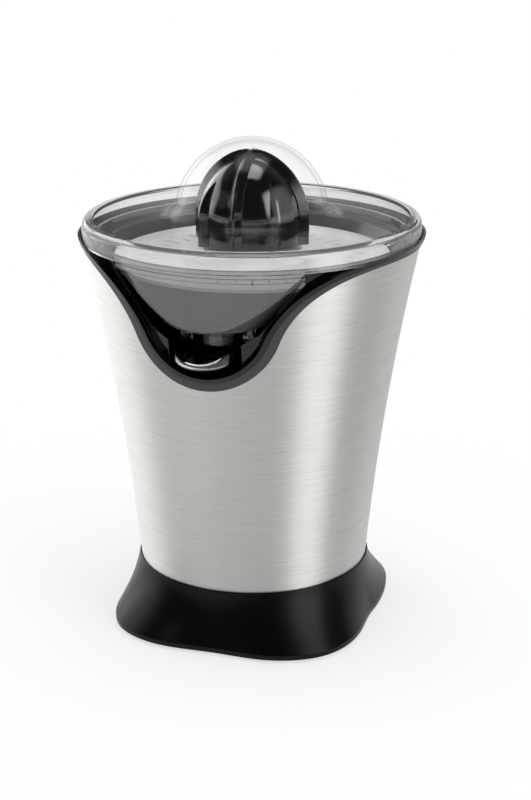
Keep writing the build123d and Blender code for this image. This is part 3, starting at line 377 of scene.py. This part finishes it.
camera = bpy.data.objects.new("camera", lens)
camera.matrix_world = Matrix((
    (side.x, top.x, -look.x, spot.x),
    (side.y, top.y, -look.y, spot.y),
    (side.z, top.z, -look.z, spot.z),
    (0, 0, 0, 1),
))
bpy.context.collection.objects.link(camera)
bpy.context.scene.camera = camera

# Lamps, aimed at the middle of the body
lamp_aim = up * 0.15


def softbox(name, turn, distance, height, wide, tall, level):
    """A soft lamp that fades to its edges, its turn measured from the camera's side towards the right."""
    lamp = bpy.data.lights.new(name, "AREA")
    lamp.shape = "RECTANGLE"
    lamp.size = wide
    lamp.size_y = tall
    lamp.energy = level * pi * wide * tall
    f = Finish(name, lamp)
    spread = f.node("ShaderNodeNewGeometry", output="Parametric")
    u = f.node("ShaderNodeSeparateXYZ", {}, {0: spread}, 0)
    v = f.node("ShaderNodeSeparateXYZ", {}, {0: spread}, 1)
    middle = (u * (1 - u) * v * (1 - v) * 16).ramp(0.0, 0.6)
    f.done(f.node("ShaderNodeEmission", {}, {"Color": f.mix(middle, (0, 0, 0), (1, 1, 1))}), "Light")
    holder = bpy.data.objects.new(name, lamp)
    stand = across * sin(radians(turn)) * distance - away * cos(radians(turn)) * distance + up * height
    holder.rotation_mode = "QUATERNION"
    holder.location = stand
    holder.rotation_quaternion = (lamp_aim - stand).to_track_quat("-Z", "Y")
    bpy.context.collection.objects.link(holder)


softbox("softbox_right", turn=50, distance=1.3, height=0.72, wide=1.0, tall=1.5, level=3.0)
softbox("softbox_left", turn=-50, distance=1.4, height=1.0, wide=0.6, tall=0.8, level=0.6)
softbox("softbox_top", turn=170, distance=0.12, height=1.5, wide=0.95, tall=0.95, level=2.5)
softbox("softbox_back_left", turn=-124, distance=1.4, height=0.6, wide=2.2, tall=1.2, level=1.5)

# White floor that keeps a soft shadow near the foot, and dims to the right where gloss and metal mirror it.
# Its half-width and the reach of the shadow are in metres.
floor_half = 12
shadow_near, shadow_far = 0.08, 0.4
ground = Finish("studio_floor")
reach = ground.length(ground.place())
sideways = ground.towards(ground.place(), across)
mirrored = ground.ray("Glossy")
looked_at = ground.ray("Camera").larger(mirrored).larger(ground.ray("Transmission"))
tooth = ground.mix(ground.noise(40), (0.86, 0.86, 0.86), (0.88, 0.88, 0.88))
paper = ground.node("ShaderNodeBsdfDiffuse", {}, {"Color": tooth})
dim = mirrored * sideways.ramp(-0.5, 0.5, 0.0, 0.3)
glow = ground.node("ShaderNodeEmission", {}, {"Color": ground.mix(dim, (1, 1, 1), (0, 0, 0))})
glow_share = looked_at * reach.ramp(shadow_near, shadow_far, 0.62, 1.0)
sheet = bmesh.new()
bmesh.ops.create_grid(sheet, x_segments=1, y_segments=1, size=floor_half)
floor_mesh = bpy.data.meshes.new("studio_floor")
sheet.to_mesh(floor_mesh)
sheet.free()
floor_mesh.materials.append(ground.done(ground.blend(glow_share, paper, glow)))
floor = bpy.data.objects.new("studio_floor", floor_mesh)
bpy.context.collection.objects.link(floor)

# Room: white backdrop, which metal and plastic mirror as a low bright wall behind in a dim studio.
# The wall's top and fade are sines of the angle above the horizon, and a level of 1 is white.
wall_top, wall_fade = 0.205, 0.225
wall_level, wall_over = 0.9, 0.1
studio_level, soft_level = 0.04, 0.7
room = Finish("studio_room", bpy.data.worlds.new("studio_room"))
bpy.context.scene.world = room.owner
direction = room.node("ShaderNodeTexCoord", output="Generated")
behind = room.towards(direction, away)
above = room.towards(direction, up)
mirrored = room.ray("Glossy")
wall = behind.ramp(0.0, 0.5) * above.ramp(wall_top, wall_fade, wall_level, wall_over)
backdrop = behind.ramp(-0.3, 0.1) * above.ramp(0.02, 0.12, 1.0, 0.0)
white = room.ray("Camera").larger(room.ray("Transmission") * backdrop)
studio = mirrored * (wall + studio_level) + (1 - mirrored) * soft_level
level = white + (1 - white) * studio
room.done(room.node("ShaderNodeBackground", {}, {"Color": (1, 1, 1, 1), "Strength": level}), "World")

bpy.context.scene.view_settings.view_transform = "Standard"
